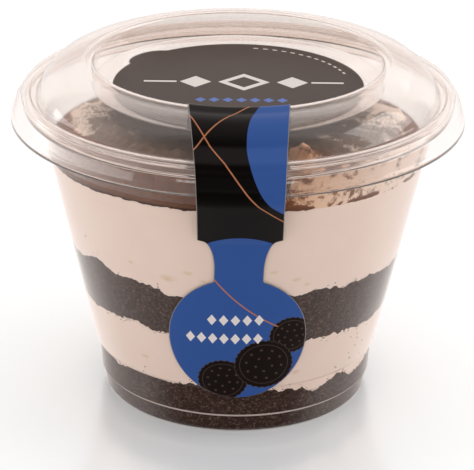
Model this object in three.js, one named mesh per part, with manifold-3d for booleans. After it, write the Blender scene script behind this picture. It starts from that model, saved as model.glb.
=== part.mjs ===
// A layered dessert in a clear pot with a domed lid and a printed seal.
// Millimetres, +Z up. The origin is the middle of the pot's foot, and the seal faces -Y.

import * as THREE from 'three';
import * as BufferGeometryUtils from 'three/addons/utils/BufferGeometryUtils.js';
import Module from 'manifold-3d';

const wasm = await Module();
wasm.setup();

// ---------- driving dimensions ----------

const SEGMENTS = 48; // flats round every turned surface
const GAP = 0.3; // clearance between pieces that touch
const SHEET = 0.5; // thermoformed wall of the pot and the lid

const FOOT_RADIUS = 29.25; // mid-sheet radii and heights of the pot
const FOOT_CORNER = 1.05;
const RING_HEIGHT = 4.5;
const RING_STEP = 0.25;
const KNEE_RADIUS = 30.35;
const KNEE_HEIGHT = 10.8;
const KNEE_STEP = 0.75;
const WALL_TOP = 66.0;
const WALL_SLOPE = 0.2255; // how far the wall leans out for each millimetre up
const FLANGE_HEIGHT = 67.25;
const FLANGE_RADIUS = 46.15;

const FLOOR_HEIGHT = 69.95; // mid-sheet heights and radii of the lid
const RECESS_RADIUS = 31.6;
const CROWN_RADIUS = 32.45;
const CROWN_BEAD = 0.85;
const CROWN_HEIGHT = 75.1; // middle of the bead round the crown
const DOME_FOOT_RADIUS = 43.3;
const DOME_FOOT_HEIGHT = 68.9;
const SHELF_HEIGHT = 68.1;
const RIM_RADIUS = 46.05; // middle of the bead over the pot's flange
const RIM_BEAD = 0.9;
const SKIRT_RADIUS = 49.25;
const SKIRT_END = 62.8;

const FILM = 0.2; // thickness of the seal
const FILM_LIFT = SHEET / 2 + GAP + FILM / 2; // its middle above the middle of the sheet
const DISC_RADIUS = 27.2;
const DISC_CENTRE_Y = -2.2;
const TAB_REACH = 2.2;
const TAB_HALF_WIDTH = 6.0;
const STRIP_HALF_WIDTH = [10.6, 8.7]; // at the crown and at its lower corners
const STRIP_DRIFT = [0.2, 0.8]; // how far the strip sits right of the middle, there and there
const STRIP_CORNER_HEIGHT = 49.5;
const NECK_HALF_WIDTH = 5.2;
const NECK_HEIGHTS = [40.2, 44.0];
const TOUCH_HEIGHT = 47.0; // where the strip comes down onto the pot's wall
const ROUND_END_RADIUS = 15.0;
const ROUND_END_HEIGHT = 23.9;
const ROUND_END_DRIFT = 0.5;

const COCOA_DEPTH = 1.1; // dusting over the upper cream

const degrees = THREE.MathUtils.degToRad;

// ---------- turned bodies ----------

/** Points on an arc, its angles in degrees from the outward direction. */
function arc(radius, centreR, centreZ, from, to, steps) {
  const points = [];
  for (let i = 0; i <= steps; i++) {
    const angle = degrees(from + ((to - from) * i) / steps);
    points.push([centreR + radius * Math.cos(angle), centreZ + radius * Math.sin(angle)]);
  }
  return points;
}

/** Points on a quadratic curve. */
function bow(start, control, end, steps) {
  const curve = new THREE.QuadraticBezierCurve(
    new THREE.Vector2(...start), new THREE.Vector2(...control), new THREE.Vector2(...end));
  return curve.getPoints(steps).map((p) => [p.x, p.y]);
}

/** A line moved sideways by a distance, to the right of its direction. */
function offset(line, distance) {
  return line.map((point, i) => {
    const before = line[Math.max(i - 1, 0)];
    const after = line[Math.min(i + 1, line.length - 1)];
    const into = new THREE.Vector2(point[0] - before[0], point[1] - before[1]).normalize();
    const out = new THREE.Vector2(after[0] - point[0], after[1] - point[1]).normalize();
    const along = into.clone().add(out).normalize();
    const stretch = i === 0 || i === line.length - 1 ? 1 : along.dot(out);
    return [point[0] + (along.y * distance) / stretch, point[1] - (along.x * distance) / stretch];
  });
}

/** Merges shared vertices and drops the triangles that collapse at the axis. */
function closed(geometry) {
  geometry.deleteAttribute('normal');
  geometry.deleteAttribute('uv');
  const merged = BufferGeometryUtils.mergeVertices(geometry, 1e-5);
  const index = merged.getIndex().array;
  const kept = [];
  for (let i = 0; i < index.length; i += 3) {
    const [a, b, c] = [index[i], index[i + 1], index[i + 2]];
    if (a !== b && b !== c && c !== a) kept.push(a, b, c);
  }
  merged.setIndex(kept);
  return merged;
}

/**
 * A body of rings about the axis. Each row gives [radius, height] for an azimuth, which is 0 at
 * the front and grows towards +X. The first and the last row lie on the axis. From the row turn
 * on, the quads are split the other way, so that two surfaces that face each other match.
 */
function rings(rows, turn = rows.length) {
  const last = rows.length - 1;
  const profile = rows.map((_, i) => new THREE.Vector2(i === 0 || i === last ? 0 : 1, i));
  const lathe = new THREE.LatheGeometry(profile, SEGMENTS);
  const index = lathe.getIndex().array;
  for (let quad = 0; quad < index.length / 6; quad++) {
    if (quad % last < turn) continue;
    const [a, b, d, c] = index.slice(quad * 6, quad * 6 + 4);
    index.set([a, b, c, a, c, d], quad * 6);
  }
  const body = closed(lathe);
  const position = body.getAttribute('position');
  for (let i = 0; i < position.count; i++) {
    const azimuth = Math.atan2(position.getX(i), position.getZ(i));
    const row = Math.round(position.getY(i));
    const [radius, height] = rows[row](azimuth);
    const reach = row === 0 || row === last ? 0 : radius;
    position.setXYZ(i, reach * Math.sin(azimuth), -reach * Math.cos(azimuth), height);
  }
  body.computeVertexNormals();
  return body;
}

/** A turned sheet of even thickness round a mid-sheet line that starts on the axis. */
function sheet(line) {
  const under = offset(line, SHEET / 2);
  const over = offset(line, -SHEET / 2).reverse();
  return rings([...under, ...over].map((point) => () => point));
}

// ---------- the pot ----------

function wallRadius(height) {
  return KNEE_RADIUS + KNEE_STEP + (height - KNEE_HEIGHT - KNEE_STEP) * WALL_SLOPE;
}

function potLine() {
  return [
    [0, SHEET / 2],
    ...arc(FOOT_CORNER, FOOT_RADIUS - FOOT_CORNER, SHEET / 2 + FOOT_CORNER, -90, 0, 2),
    [FOOT_RADIUS + RING_STEP, RING_HEIGHT - RING_STEP],
    [FOOT_RADIUS + 3 * RING_STEP, RING_HEIGHT],
    [KNEE_RADIUS, KNEE_HEIGHT],
    [KNEE_RADIUS + KNEE_STEP, KNEE_HEIGHT + KNEE_STEP],
    [wallRadius(WALL_TOP), WALL_TOP],
    [wallRadius(WALL_TOP) + 0.8, FLANGE_HEIGHT],
    [FLANGE_RADIUS - 0.6, FLANGE_HEIGHT],
    [FLANGE_RADIUS, FLANGE_HEIGHT - 0.6],
    [FLANGE_RADIUS, FLANGE_HEIGHT - 1.8],
  ];
}

// ---------- the lid ----------

function domeCurve(lift, steps) {
  const start = [CROWN_RADIUS + 1.5, CROWN_HEIGHT + 0.1 + lift];
  const control = [DOME_FOOT_RADIUS - 2.8 + lift, CROWN_HEIGHT + 0.4 + lift];
  return bow(start, control, [DOME_FOOT_RADIUS + lift, DOME_FOOT_HEIGHT], steps);
}

function lidLine() {
  return [
    [0, FLOOR_HEIGHT],
    ...arc(0.8, RECESS_RADIUS - 0.8, FLOOR_HEIGHT + 0.8, -90, 0, 2),
    ...arc(CROWN_BEAD, CROWN_RADIUS, CROWN_HEIGHT, 180, 20, 4),
    ...domeCurve(0, 5),
    [DOME_FOOT_RADIUS + 0.8, SHELF_HEIGHT],
    ...arc(RIM_BEAD, RIM_RADIUS, SHELF_HEIGHT, 165, -10, 4),
    [SKIRT_RADIUS - 0.45, SKIRT_END + 1.1],
    [SKIRT_RADIUS - 0.15, SKIRT_END + 0.8],
    [SKIRT_RADIUS, SKIRT_END],
  ];
}

// ---------- the layers of food ----------

// Where each pair of layers meets on the pot's wall: [azimuth in degrees, height].
const CRUMB_BASE_EDGE = [
  [-165, 10.4], [-120, 9.6], [-84, 10.8], [-66, 10.6], [-55, 9.8], [-48, 11.0], [-32, 10.9],
  [-14, 11.8], [8, 10.6], [26, 9.8], [36, 8.1], [47, 10.3], [58, 8.2], [75, 9.5], [120, 10.8]];
const CREAM_LOWER_EDGE = [
  [-160, 24.6], [-120, 23.2], [-85, 24.2], [-64, 23.8], [-50, 24.8], [-40, 25.4], [-30, 24.1],
  [-10, 23.4], [12, 23.0], [30, 22.5], [45, 22.2], [62, 21.8], [80, 22.4], [115, 24.0], [145, 22.8]];
const CRUMB_MIDDLE_EDGE = [
  [-165, 35.2], [-125, 36.4], [-90, 35.4], [-66, 35.5], [-54, 37.8], [-45, 36.1], [-31, 36.0],
  [-21, 34.1], [0, 35.2], [20, 34.6], [30, 35.6], [39, 34.3], [48, 34.9], [64, 33.8], [100, 35.4],
  [140, 34.2]];
const CREAM_UPPER_EDGE = [
  [-150, 56.0], [-100, 55.4], [-60, 55.6], [-30, 56.2], [10, 56.3], [45, 55.8], [80, 55.0],
  [130, 56.2]];

/** The height of an edge at an azimuth, smooth between its points and all the way round. */
function edgeHeight(edge, azimuth) {
  const angle = THREE.MathUtils.euclideanModulo(THREE.MathUtils.radToDeg(azimuth), 360);
  const turns = edge.map(([a, h]) => [THREE.MathUtils.euclideanModulo(a, 360), h]);
  turns.sort((p, q) => p[0] - q[0]);
  const [first, last] = [turns[0], turns[turns.length - 1]];
  const line = [[last[0] - 360, last[1]], ...turns, [first[0] + 360, first[1]]];
  const i = line.findIndex((point) => point[0] > angle);
  const t = (angle - line[i - 1][0]) / (line[i][0] - line[i - 1][0]);
  return line[i - 1][1] + (line[i][1] - line[i - 1][1]) * THREE.MathUtils.smoothstep(t, 0, 1);
}

// The food's side, just inside the pot: [radius, height].
const INSET = SHEET / 2 + GAP + 0.05;
const SIDE_STEP = 0.3; // least height between rows of a layer's side
const FOOD_SIDE = [
  [FOOT_RADIUS - INSET - 0.6, SHEET + GAP],
  [FOOT_RADIUS - INSET, SHEET + GAP + 0.9],
  [FOOT_RADIUS + 2 * RING_STEP - INSET, RING_HEIGHT + 0.5],
  [KNEE_RADIUS - INSET, KNEE_HEIGHT + 0.3],
  [KNEE_RADIUS + KNEE_STEP - INSET - 0.05, KNEE_HEIGHT + KNEE_STEP + 0.3],
  [wallRadius(WALL_TOP) - INSET, WALL_TOP],
];

function foodRadius(height) {
  const i = Math.max(1, FOOD_SIDE.findIndex((point) => point[1] >= height));
  const [[r0, z0], [r1, z1]] = [FOOD_SIDE[i - 1], FOOD_SIDE[i]];
  return r0 + ((r1 - r0) * (height - z0)) / (z1 - z0);
}

/**
 * A surface across the pot, as rows from the middle to the wall. height(share, azimuth) gives its
 * height at a share of the radius, and reach is the wall's radius near it. Two surfaces that face
 * each other have the same reach, so their rows lie over each other.
 */
function acrossRows({ height, reach, shares }) {
  return shares.map((share) => (azimuth) => {
    const level = height(share, azimuth);
    return [share < 1 ? share * reach : foodRadius(level), level];
  });
}

/** One layer between two surfaces, with a row of its side at each bend of the pot's wall. */
function layer(bottom, top) {
  const levels = FOOD_SIDE.map((point) => point[1]).filter((level) =>
    level > bottom.height(1, 0) - 2 && level < top.height(1, 0) + 2);
  const side = levels.map((level, i) => (azimuth) => {
    const low = bottom.height(1, azimuth) + SIDE_STEP * (i + 1);
    const high = top.height(1, azimuth) - SIDE_STEP * (levels.length - i);
    const height = THREE.MathUtils.clamp(level, low, high);
    return [foodRadius(height), height];
  });
  const low = [...acrossRows(bottom), ...side];
  return rings([...low, ...acrossRows(top).reverse()], low.length);
}

/** A nearly level surface that follows an edge at the wall, lifted by a little. */
function bed(edge, lift) {
  const mean = edge.reduce((sum, point) => sum + point[1], 0) / edge.length;
  const height = (share, azimuth) =>
    lift + mean + (edgeHeight(edge, azimuth) - mean) * share ** 3;
  return { height, reach: foodRadius(mean), shares: BED_SHARES };
}

// The heaped top: [radius, height] from the middle to the wall, and lumps on it.
const HEAP = [[0, 63.9], [20, 64.2], [27, 64.6], [31, 64.7], [34, 63.5], [37, 61.4], [41, 57.4]];
const HEAP_REACH = HEAP[HEAP.length - 1][0];
const HEAP_SHARES = [0, 0.35, 0.62, 0.74, 0.83, 0.91, 1];
const BED_SHARES = [0, 0.55, 0.84, 1];
const LUMPS = [
  { azimuth: -84, radius: 32, height: 1.2, spread: 3.6 },
  { azimuth: -62, radius: 30, height: 0.9, spread: 3.0 },
  { azimuth: -99, radius: 27, height: 0.8, spread: 2.4 },
  { azimuth: 22, radius: 32.5, height: 4.2, spread: 2.4 },
  { azimuth: 58, radius: 31, height: 0.7, spread: 3.4 },
  { azimuth: 83, radius: 34, height: 1.2, spread: 3.2 },
  { azimuth: 97, radius: 29, height: 1.0, spread: 3.0 },
  { azimuth: 172, radius: 30, height: 0.8, spread: 5.4 },
];
const BACK_DROP = 3.2; // how much lower the heap's rim lies at the back

function heapHeight(share, azimuth) {
  const radius = share * HEAP_REACH;
  const i = Math.max(1, HEAP.findIndex((point) => point[0] >= radius - 1e-6));
  const t = (radius - HEAP[i - 1][0]) / (HEAP[i][0] - HEAP[i - 1][0]);
  let height = HEAP[i - 1][1] + (HEAP[i][1] - HEAP[i - 1][1]) * t;
  for (const lump of LUMPS) {
    const turn = degrees(lump.azimuth);
    const away = Math.hypot(
      radius * Math.sin(azimuth) - lump.radius * Math.sin(turn),
      radius * Math.cos(azimuth) - lump.radius * Math.cos(turn));
    height += lump.height * Math.exp(-((away / lump.spread) ** 2));
  }
  // the rim of the heap is lower behind both sides
  const { smoothstep } = THREE.MathUtils;
  const behind = smoothstep(Math.acos(Math.cos(azimuth)), degrees(88), degrees(112));
  height -= BACK_DROP * behind * smoothstep(radius, 18, 32) * (1 - smoothstep(radius, 37, 41));
  const edge = edgeHeight(CREAM_UPPER_EDGE, azimuth) - CREAM_UPPER_EDGE[0][1];
  return height + edge * share ** 3;
}

/** The heap's surface, lowered by a depth. */
function heap(depth) {
  const height = (share, azimuth) => heapHeight(share, azimuth) - depth;
  return { height, reach: HEAP_REACH, shares: HEAP_SHARES };
}

function crumbBase() {
  const bottom = { height: () => SHEET + GAP, reach: FOOT_RADIUS, shares: [0, 1] };
  return layer(bottom, bed(CRUMB_BASE_EDGE, -GAP / 2));
}

function creamLower() {
  return layer(bed(CRUMB_BASE_EDGE, GAP / 2), bed(CREAM_LOWER_EDGE, -GAP / 2));
}

function crumbMiddle() {
  return layer(bed(CREAM_LOWER_EDGE, GAP / 2), bed(CRUMB_MIDDLE_EDGE, -GAP / 2));
}

function creamUpper() {
  return layer(bed(CRUMB_MIDDLE_EDGE, GAP / 2), heap(COCOA_DEPTH + GAP));
}

function cocoaTop() {
  const low = acrossRows(heap(COCOA_DEPTH));
  return rings([...low, ...acrossRows(heap(0)).reverse()], low.length);
}

// ---------- the seal ----------

/** The strip's way from the disc over the lid and down the pot, as [radius, height] points. */
function stripLine() {
  const crown = arc(CROWN_BEAD + FILM_LIFT, CROWN_RADIUS, CROWN_HEIGHT, 152, 70, 3);
  const dome = domeCurve(FILM_LIFT, 6).slice(1, 5);
  const rim = arc(RIM_BEAD + FILM_LIFT, RIM_RADIUS, SHELF_HEIGHT, 55, 12, 2);
  const skirt = [
    [SKIRT_RADIUS - 0.15 + FILM_LIFT, SKIRT_END + 0.9],
    [SKIRT_RADIUS + FILM_LIFT + 0.05, SKIRT_END - 0.1],
  ];
  return [[24, 0], [29.7, 0]].map(([r]) => [r, FLOOR_HEIGHT + FILM_LIFT])
    .concat(crown, dome, rim, skirt);
}

/** A point just off the pot's wall. */
function offWall(height) {
  return [wallRadius(height) + FILM_LIFT, height];
}

/** The strip's rows: [radius, height, half width, drift to the right]. */
function stripRows() {
  const [wide, narrow] = STRIP_HALF_WIDTH;
  const [driftTop, driftLow] = STRIP_DRIFT;
  const line = stripLine();
  const bend = line[line.length - 1];
  const rows = line.map(([r, z]) => {
    const t = THREE.MathUtils.clamp((CROWN_HEIGHT - z) / (CROWN_HEIGHT - STRIP_CORNER_HEIGHT), 0, 1);
    const flat = r < RECESS_RADIUS ? 0 : t;
    return [r, z, wide + (narrow - wide) * flat, driftTop + (driftLow - driftTop) * flat];
  });
  const touch = offWall(TOUCH_HEIGHT);
  const bridge = (z) => touch[0] + ((bend[0] - touch[0]) * (z - touch[1])) / (bend[1] - touch[1]);
  for (const z of [58, 53, STRIP_CORNER_HEIGHT]) rows.push([bridge(z), z, narrow, driftLow]);
  const bite = NECK_HEIGHTS[1];
  for (const t of [0.12, 0.35, 0.65]) {
    const z = STRIP_CORNER_HEIGHT + (bite - STRIP_CORNER_HEIGHT) * t;
    const r = z > TOUCH_HEIGHT ? bridge(z) : offWall(z)[0];
    const half = NECK_HALF_WIDTH + (narrow - NECK_HALF_WIDTH) * (1 - t) ** 2;
    rows.push([r, z, half, driftLow]);
  }
  for (const z of NECK_HEIGHTS.slice().reverse()) {
    rows.push([...offWall(z), NECK_HALF_WIDTH, ROUND_END_DRIFT]);
  }
  const slant = Math.hypot(1, WALL_SLOPE);
  for (const angle of [27, 38, 52, 68, 86, 104, 122, 140, 156, 168]) {
    const z = ROUND_END_HEIGHT + (ROUND_END_RADIUS * Math.cos(degrees(angle))) / slant;
    const half = ROUND_END_RADIUS * Math.sin(degrees(angle));
    rows.push([...offWall(z), half, ROUND_END_DRIFT]);
  }
  return rows;
}

/** A thin film over rows that are each wrapped round the axis, open nowhere. */
function film(rows, columns) {
  const line = rows.map(([r, z]) => [r, z]);
  const faces = [offset(line, FILM / 2), offset(line, -FILM / 2)];
  const plate = new THREE.BoxGeometry(1, 1, 1, columns, rows.length - 1, 1);
  const position = plate.getAttribute('position');
  for (let i = 0; i < position.count; i++) {
    const row = Math.round((0.5 - position.getY(i)) * (rows.length - 1));
    const [radius, height] = faces[position.getZ(i) > 0 ? 1 : 0][row];
    const [, , half, drift] = rows[row];
    const across = position.getX(i) * 2 * half + drift;
    const turn = across / rows[row][0];
    position.setXYZ(i, radius * Math.sin(turn), -radius * Math.cos(turn), height);
  }
  return closed(plate);
}

function toManifold(geometry) {
  const position = geometry.getAttribute('position');
  return new wasm.Manifold(new wasm.Mesh({
    numProp: 3,
    vertProperties: new Float32Array(position.array),
    triVerts: new Uint32Array(geometry.getIndex().array),
  }));
}

function fromManifold(solid) {
  const mesh = solid.getMesh();
  const geometry = new THREE.BufferGeometry();
  geometry.setAttribute('position', new THREE.BufferAttribute(mesh.vertProperties, 3));
  geometry.setIndex(new THREE.BufferAttribute(mesh.triVerts, 1));
  geometry.computeVertexNormals();
  return geometry;
}

/** A flat plate on the lid's floor from an outline. */
function plate(shape) {
  const body = new THREE.ExtrudeGeometry(shape, { depth: FILM, bevelEnabled: false, curveSegments: 24 });
  body.translate(0, 0, FLOOR_HEIGHT + FILM_LIFT - FILM / 2);
  return toManifold(closed(body));
}

function sealLabel() {
  const disc = new THREE.Shape();
  disc.absarc(0, DISC_CENTRE_Y, DISC_RADIUS, 0, 2 * Math.PI);
  const tab = new THREE.Shape();
  const slant = degrees(139); // the lifting tab is at the back left
  const reach = DISC_RADIUS + TAB_REACH - TAB_HALF_WIDTH * 0.6;
  tab.absellipse(
    reach * Math.cos(slant), DISC_CENTRE_Y + reach * Math.sin(slant),
    TAB_HALF_WIDTH * 0.6, TAB_HALF_WIDTH, 0, 2 * Math.PI, false, slant);
  return fromManifold(plate(disc).add(plate(tab)).add(toManifold(film(stripRows(), 8))));
}

// ---------- the whole object ----------

const CLEAR = { color: 0xf2f4f5, roughness: 0.05, metalness: 0, transparent: true, opacity: 0.3 };
const CREAM = { color: 0xe6d2c4, roughness: 0.55, metalness: 0 };
const CRUMB = { color: 0x3d2f2a, roughness: 0.9, metalness: 0 };
const COCOA = { color: 0x7a4a38, roughness: 0.95, metalness: 0 };
const PRINTED_FILM = { color: 0x3a5387, roughness: 0.35, metalness: 0 };

const dessert = new THREE.Group();

function addNode(name, geometry, finish) {
  const node = new THREE.Mesh(geometry, new THREE.MeshStandardMaterial(finish));
  node.name = name;
  dessert.add(node);
}

addNode('pot', sheet(potLine()), CLEAR);
addNode('lid', sheet(lidLine()), CLEAR);
addNode('crumb_base', crumbBase(), CRUMB);
addNode('cream_lower', creamLower(), CREAM);
addNode('crumb_middle', crumbMiddle(), CRUMB);
addNode('cream_upper', creamUpper(), CREAM);
addNode('cocoa_top', cocoaTop(), COCOA);
addNode('seal_label', sealLabel(), PRINTED_FILM);

export default dessert;
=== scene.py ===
"""A layered tiramisu in a lidded clear pot, photographed on a white table.

The object is put together from the pot outwards: pot, lid, food from the bottom up, then the seal.
Sizes are in millimetres and turned to metres where a mesh is made. +Z is up, and the seal faces -Y.
"""

import bisect
import math
import random

import bmesh
import bpy
from mathutils import Matrix, Vector, noise


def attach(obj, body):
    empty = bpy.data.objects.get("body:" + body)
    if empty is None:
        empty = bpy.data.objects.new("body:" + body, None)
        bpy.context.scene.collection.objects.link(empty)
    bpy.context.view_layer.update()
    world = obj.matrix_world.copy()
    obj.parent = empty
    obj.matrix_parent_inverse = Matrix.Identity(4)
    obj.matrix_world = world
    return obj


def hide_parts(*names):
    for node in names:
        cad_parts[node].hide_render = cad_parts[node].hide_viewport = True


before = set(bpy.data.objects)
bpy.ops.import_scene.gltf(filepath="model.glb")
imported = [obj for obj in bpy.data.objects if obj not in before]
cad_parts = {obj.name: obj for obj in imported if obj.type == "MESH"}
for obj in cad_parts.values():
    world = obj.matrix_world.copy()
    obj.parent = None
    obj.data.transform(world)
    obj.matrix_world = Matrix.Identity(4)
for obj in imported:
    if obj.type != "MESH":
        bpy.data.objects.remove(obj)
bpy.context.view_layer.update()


# -------------------- camera and studio
# The photograph looks down on the pot by 23 degrees from little more than half a metre, with a
# long lens. The pot leans by less than a degree in the picture.

MM = 0.001
ELEVATION = math.radians(22.97)
DISTANCE = 560 * MM
AIM = Vector((0.1 * MM, 0, 34 * MM))
ROLL = math.radians(0.7)

camera_data = bpy.data.cameras.new("studio camera")
camera_data.lens = 191.1
camera_data.sensor_width = 36
camera_data.clip_start = 0.01
camera_data.clip_end = 20
camera = bpy.data.objects.new("studio camera", camera_data)
bpy.context.collection.objects.link(camera)
camera.matrix_world = (
    Matrix.Translation(AIM)
    @ Matrix.Rotation(math.pi / 2 - ELEVATION, 4, "X")
    @ Matrix.Translation((0, 0, DISTANCE))
    @ Matrix.Rotation(ROLL, 4, "Z")
)
bpy.context.scene.camera = camera


def linear(code):
    """The linear colour of an sRGB hex value."""
    parts = [int(code[i : i + 2], 16) / 255 for i in (1, 3, 5)]
    return (*(c / 12.92 if c <= 0.04045 else ((c + 0.055) / 1.055) ** 2.4 for c in parts), 1)


def add_node(tree, kind, feeds=None, **settings):
    """A new shader node with its settings. feeds gives each input a value, or an output to read, or
    a node whose first output is read."""
    node = tree.nodes.new("ShaderNode" + kind)
    for key, value in settings.items():
        setattr(node, key, value)
    for socket, value in (feeds or {}).items():
        if isinstance(value, bpy.types.Node):
            value = value.outputs[0]
        if isinstance(value, bpy.types.NodeSocket):
            tree.links.new(value, node.inputs[socket])
        else:
            node.inputs[socket].default_value = value
    return node


# White card stands behind and beside the pot. Gloss mirrors it, and also the darker studio overhead
# and in front and the shade round the foot. The light that falls on the food is even all round.
OVERHEAD = Vector((0, -0.259, 0.966))
IN_FRONT = Vector((0, -1, 0))
CARD = 1.1
EVEN_LIGHT = 0.735
WHITE = (1, 1, 1, 1)
world = bpy.data.worlds.new("white card studio")
bpy.context.scene.world = world
world.use_nodes = True
sky = world.node_tree
sky.nodes.clear()
direction = add_node(sky, "TexCoord").outputs["Generated"]
overhead = add_node(sky, "VectorMath", {0: direction, 1: OVERHEAD}, operation="DOT_PRODUCT")
ahead = add_node(sky, "VectorMath", {0: direction, 1: IN_FRONT}, operation="DOT_PRODUCT")
below_top = add_node(sky, "MapRange",
                     {"Value": overhead.outputs["Value"], "From Min": 0.42, "From Max": 0.66,
                      "To Min": CARD, "To Max": 0.75}, interpolation_type="SMOOTHSTEP")
behind = add_node(sky, "MapRange",
                  {"Value": ahead.outputs["Value"], "From Min": 0.0, "From Max": 0.62,
                   "To Min": CARD, "To Max": 0.04}, interpolation_type="SMOOTHSTEP")
upright = add_node(sky, "SeparateXYZ", {0: direction})
off_foot = add_node(sky, "MapRange",
                    {"Value": upright.outputs[2], "From Min": -0.85, "From Max": -0.6,
                     "To Min": 0.4, "To Max": CARD})
sides = add_node(sky, "Math", {0: below_top, 1: behind}, operation="MINIMUM")
mirrored = add_node(sky, "Math", {0: sides, 1: off_foot}, operation="MINIMUM")
rays = add_node(sky, "LightPath")
lighting = add_node(sky, "Mix",
                    {"Factor": rays.outputs["Is Diffuse Ray"], "A": mirrored, "B": EVEN_LIGHT},
                    data_type="FLOAT")
strength = add_node(sky, "Mix",
                    {"Factor": rays.outputs["Is Camera Ray"], "A": lighting, "B": 1.0}, data_type="FLOAT")
tint = add_node(sky, "Mix",
                {"Factor": rays.outputs["Is Diffuse Ray"], "A": linear("#FFF6F2"), "B": WHITE},
                data_type="RGBA")
backdrop = add_node(sky, "Background", {"Color": tint.outputs["Result"], "Strength": strength})
add_node(sky, "OutputWorld", {"Surface": backdrop})

SOFTBOXES = [
    # name, location in metres, width, height, watts, seen in gloss
    ("left softbox", (-0.76, -0.05, 0.09), 1.1, 0.2, 1.0, True),
    ("right softbox", (0.6, 0.05, 0.36), 0.42, 0.42, 0.8, True),
    ("top softbox", (0.0, 0.25, 0.75), 0.6, 0.6, 1.0, False),
    ("front fill", (0.0, -0.7, 0.45), 0.5, 0.5, 0.15, False),
    ("low strip light", (0.0, -0.9, 0.22), 1.0, 0.05, 0.4, True),
]
for name, location, width, height, watts, in_gloss in SOFTBOXES:
    lamp = bpy.data.lights.new(name, "AREA")
    lamp.shape = "RECTANGLE"
    lamp.size = width
    lamp.size_y = height
    lamp.energy = watts
    softbox = bpy.data.objects.new(name, lamp)
    softbox.location = location
    softbox.rotation_euler = (AIM - Vector(location)).to_track_quat("-Z", "Y").to_euler()
    softbox.visible_glossy = in_gloss
    softbox.visible_transmission = in_gloss
    bpy.context.collection.objects.link(softbox)

view = bpy.context.scene.view_settings
view.view_transform = "Standard"
view.look = "None"
# A ray to the food and back crosses the faces of two sheets many times.
BOUNCES = 24
cycles = bpy.context.scene.cycles
cycles.max_bounces = BOUNCES
cycles.transmission_bounces = BOUNCES
cycles.transparent_max_bounces = BOUNCES


# -------------------- table
# A white board, faintly lit through, under a clear gloss that mirrors the pot's foot. The pot's own
# gloss mirrors the grey of the studio in place of the table.

TABLE_HALF_WIDTH = 3000
GLOSS_SHARE = 0.28


def new_material(name):
    """An empty material and its node tree."""
    material = bpy.data.materials.new(name)
    material.use_nodes = True
    material.node_tree.nodes.clear()
    return material, material.node_tree


def new_piece(name, bm, material, smooth=True):
    """An object at the origin from a mesh built in millimetres."""
    bmesh.ops.scale(bm, vec=(MM, MM, MM), verts=bm.verts)
    mesh = bpy.data.meshes.new(name)
    bm.to_mesh(mesh)
    bm.free()
    for polygon in mesh.polygons:
        polygon.use_smooth = smooth
    mesh.materials.append(material)
    piece = bpy.data.objects.new(name, mesh)
    bpy.context.collection.objects.link(piece)
    return piece


board, tree = new_material("glossy white acrylic board")
lit_white = add_node(tree, "BsdfPrincipled",
                     {"Base Color": linear("#FBFDFF"), "Roughness": 1.0, "Specular IOR Level": 0.0,
                      "Emission Color": WHITE, "Emission Strength": 0.13})
shine = add_node(tree, "BsdfGlossy", {"Color": linear("#F8FEFF"), "Roughness": 0.2})
glossed = add_node(tree, "MixShader", {0: GLOSS_SHARE, 1: lit_white, 2: shine})
add_node(tree, "OutputMaterial", {"Surface": glossed})
bm = bmesh.new()
bmesh.ops.create_grid(bm, x_segments=1, y_segments=1, size=TABLE_HALF_WIDTH)
table = new_piece("table", bm, board, smooth=False)
table.visible_glossy = False


# -------------------- pot
# A tapered pot of clear PET sheet, 0.5 mm thick, thermoformed in one piece: a foot ring, a knee,
# a straight leaning wall and a flange that carries the lid. Lines are [radius, height].

SHEET = 0.5
POT_FLOOR = SHEET / 2  # the middle of the floor's sheet
WALL_FOOT = (31.1, 11.55)
WALL_SLOPE = 0.2255
WALL_TOP = 66
FLANGE_HEIGHT = 67.25
ROUND_STEPS = 192
TOUCHING = 1e-4  # points closer than this are one point


def arc(radius, centre, start, stop, steps):
    """Points on an arc round a centre (radius, height), from one angle to another in degrees."""
    turns = [math.radians(start + (stop - start) * i / steps) for i in range(steps + 1)]
    return [(centre[0] + radius * math.cos(a), centre[1] + radius * math.sin(a)) for a in turns]


def bow(start, control, end, steps):
    """Points on a quadratic curve."""
    points = []
    for i in range(steps + 1):
        t = i / steps
        points.append(tuple((1 - t) ** 2 * a + 2 * t * (1 - t) * b + t * t * c
                            for a, b, c in zip(start, control, end)))
    return points


def wall_radius(height):
    """The middle of the pot's leaning wall."""
    return WALL_FOOT[0] + (height - WALL_FOOT[1]) * WALL_SLOPE


WALL_TOP_RADIUS = wall_radius(WALL_TOP)
POT_LINE = (
    [(0, POT_FLOOR)]
    + arc(1.05, (28.2, 1.3), -90, 0, 6)
    + [(29.5, 3.9)]
    + bow((29.52, 4.05), (29.56, 4.15), (29.68, 4.27), 3)
    + bow((29.86, 4.45), (29.98, 4.57), (30.02, 4.7), 3)
    + [(30.04, 4.9), (30.33, 10.5)]
    + bow((30.35, 10.8), (30.4, 11.3), (31.0, 11.45), 4)
    + [(31.12, 11.7), (WALL_TOP_RADIUS, WALL_TOP)]
    + bow((WALL_TOP_RADIUS + 0.1, 66.3), (WALL_TOP_RADIUS + 0.3, FLANGE_HEIGHT),
          (44.4, FLANGE_HEIGHT), 4)
    + [(45.5, FLANGE_HEIGHT)]
    + arc(0.6, (45.55, 66.65), 80, 0, 4)
    + [(46.15, 65.45)]
)


def spun(line):
    """A line of (radius, height) points, spun once round the upright axis."""
    bm = bmesh.new()
    verts = [bm.verts.new((r, 0, z)) for r, z in line]
    edges = [bm.edges.new(pair) for pair in zip(verts, verts[1:])]
    bmesh.ops.spin(bm, geom=verts + edges, cent=(0, 0, 0), axis=(0, 0, 1),
                   angle=2 * math.pi, steps=ROUND_STEPS, use_merge=True)
    bmesh.ops.remove_doubles(bm, verts=bm.verts, dist=TOUCHING)
    bmesh.ops.recalc_face_normals(bm, faces=bm.faces)
    return bm


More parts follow.
